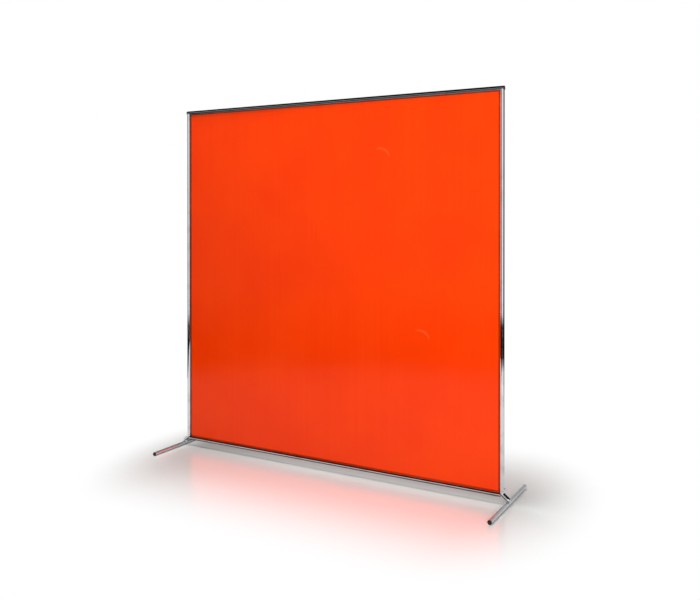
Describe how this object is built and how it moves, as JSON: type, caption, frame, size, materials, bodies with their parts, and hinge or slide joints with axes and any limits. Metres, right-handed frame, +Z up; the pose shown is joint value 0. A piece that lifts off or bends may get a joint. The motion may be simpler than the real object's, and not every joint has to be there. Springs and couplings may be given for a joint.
{
  "type": "welding screen",
  "caption": "Freestanding welding screen: square chromed tube frame with a stretched translucent orange curtain on two short swivelling tube feet.",
  "frame": {"origin": "on the floor under the middle of the screen, in the plane of the curtain", "axes": "+X along the screen's width, +Y towards its back, +Z up; the screen is the same from the front and the back"},
  "size_m": [2.065, 0.54, 2.036],
  "materials": {
    "tube": "bright chrome on steel tube",
    "fitting": "bright chrome on a casting",
    "curtain": "glossy translucent orange soft PVC",
    "hem_cord": "satin orange PVC cord",
    "cap": "satin black polyethylene",
    "zinc": "bright zinc-plated steel"
  },
  "bodies": {
    "frame": {"top_rail": "tube", "bottom_rail": "tube", "post_left": "tube", "post_right": "tube", "corner_leg_left": "fitting", "corner_leg_right": "fitting", "curtain_sheet": "curtain", "hem_cord_top": "hem_cord", "hem_cord_bottom": "hem_cord", "hem_cord_left": "hem_cord", "hem_cord_right": "hem_cord", "top_rail_cap_left": "cap", "top_rail_cap_right": "cap", "post_plug_left": "zinc", "post_plug_right": "zinc", "top_screw_left": "zinc", "top_screw_right": "zinc", "post_lock_screw_left": "zinc", "post_lock_screw_right": "zinc", "rail_lock_screw_left": "zinc", "rail_lock_screw_right": "zinc", "swivel_bolt_left": "zinc", "swivel_bolt_right": "zinc", "swivel_washer_left": "zinc", "swivel_washer_right": "zinc"},
    "foot_left": {"foot_tube_left": "tube", "foot_saddle_left": "fitting", "foot_cap_left_front": "cap", "foot_cap_left_back": "cap"},
    "foot_right": {"foot_tube_right": "tube", "foot_saddle_right": "fitting", "foot_cap_right_front": "cap", "foot_cap_right_back": "cap"}
  },
  "joints": [
    {"name": "foot_left_swivel", "type": "hinge", "parent": "frame", "child": "foot_left", "pos_m": [-1.019, 0, 0.011], "axis": [0, 0, 1], "range_deg": [-90, 90]},
    {"name": "foot_right_swivel", "type": "hinge", "parent": "frame", "child": "foot_right", "pos_m": [1.019, 0, 0.011], "axis": [0, 0, 1], "range_deg": [-90, 90]}
  ]
}
